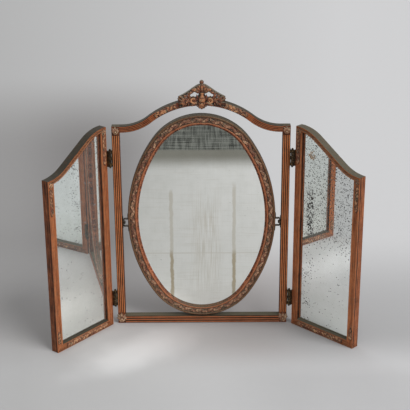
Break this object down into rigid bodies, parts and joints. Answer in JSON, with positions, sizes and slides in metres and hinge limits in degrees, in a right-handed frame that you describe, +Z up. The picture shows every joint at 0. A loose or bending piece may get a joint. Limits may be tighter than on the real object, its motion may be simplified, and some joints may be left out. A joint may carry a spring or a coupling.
{
  "type": "triple dressing table mirror",
  "caption": "Triple table mirror: an oval tilting mirror in a reeded arched stand with a carved crest, between hinged wing mirrors with sloping tops.",
  "frame": {"origin": "middle of the underside of the bottom rail of the centre frame, halfway through the depth of the frame", "axes": "+X along the centre frame to the viewer's right, +Y from the mirror fronts to the back, +Z up"},
  "size_m": [0.6932, 0.1682, 0.5918],
  "materials": {
    "bronzed_wood": "satin bronzed and aged",
    "carved_gilt": "rubbed copper gilding over dark brown",
    "aged_brass": "dark aged brass",
    "mirror_plate": "polished, foxed silvering",
    "backing_board": "raw thin board"
  },
  "bodies": {
    "stand": {"left_stile": "bronzed_wood", "right_stile": "bronzed_wood", "top_rail": "bronzed_wood", "bottom_rail": "bronzed_wood", "crest_carving": "carved_gilt", "left_leaf_spray": "carved_gilt", "right_leaf_spray": "carved_gilt", "upper_left_corner_leaf": "carved_gilt", "upper_right_corner_leaf": "carved_gilt", "lower_left_corner_leaf": "carved_gilt", "lower_right_corner_leaf": "carved_gilt", "left_pivot_plate": "aged_brass", "right_pivot_plate": "aged_brass", "left_pivot_stud": "aged_brass", "right_pivot_stud": "aged_brass", "left_upper_frame_hinge": "aged_brass", "left_lower_frame_hinge": "aged_brass", "right_upper_frame_hinge": "aged_brass", "right_lower_frame_hinge": "aged_brass", "left_frame_screws": "aged_brass", "right_frame_screws": "aged_brass"},
    "oval_mirror": {"oval_frame": "bronzed_wood", "oval_carved_band": "carved_gilt", "oval_glass": "mirror_plate", "oval_backboard": "backing_board", "oval_brads": "aged_brass", "left_pivot_strap": "aged_brass", "right_pivot_strap": "aged_brass", "strap_screws": "aged_brass"},
    "left_wing": {"left_wing_inner_stile": "bronzed_wood", "left_wing_outer_stile": "bronzed_wood", "left_wing_top_rail": "bronzed_wood", "left_wing_bottom_rail": "bronzed_wood", "left_wing_leaves": "carved_gilt", "left_wing_glass": "mirror_plate", "left_wing_backboard": "backing_board", "left_wing_brads": "aged_brass", "left_upper_wing_hinge": "aged_brass", "left_lower_wing_hinge": "aged_brass", "left_upper_hinge_pin": "aged_brass", "left_lower_hinge_pin": "aged_brass", "left_wing_screws": "aged_brass"},
    "right_wing": {"right_wing_inner_stile": "bronzed_wood", "right_wing_outer_stile": "bronzed_wood", "right_wing_top_rail": "bronzed_wood", "right_wing_bottom_rail": "bronzed_wood", "right_wing_leaves": "carved_gilt", "right_wing_glass": "mirror_plate", "right_wing_backboard": "backing_board", "right_wing_brads": "aged_brass", "right_upper_wing_hinge": "aged_brass", "right_lower_wing_hinge": "aged_brass", "right_upper_hinge_pin": "aged_brass", "right_lower_hinge_pin": "aged_brass", "right_wing_screws": "aged_brass"}
  },
  "joints": [
    {"name": "oval_tilt", "type": "hinge", "parent": "stand", "child": "oval_mirror", "pos_m": [0, 0, 0.255], "axis": [1, 0, 0], "range_deg": [-25, 25]},
    {"name": "left_wing_hinge", "type": "hinge", "parent": "stand", "child": "left_wing", "pos_m": [-0.2045, -0.0147, 0.25], "axis": [0, 0, 1], "range_deg": [-66.4, 78.6]},
    {"name": "right_wing_hinge", "type": "hinge", "parent": "stand", "child": "right_wing", "pos_m": [0.2045, -0.0147, 0.25], "axis": [0, 0, -1], "range_deg": [-60.4, 84.6]}
  ]
}
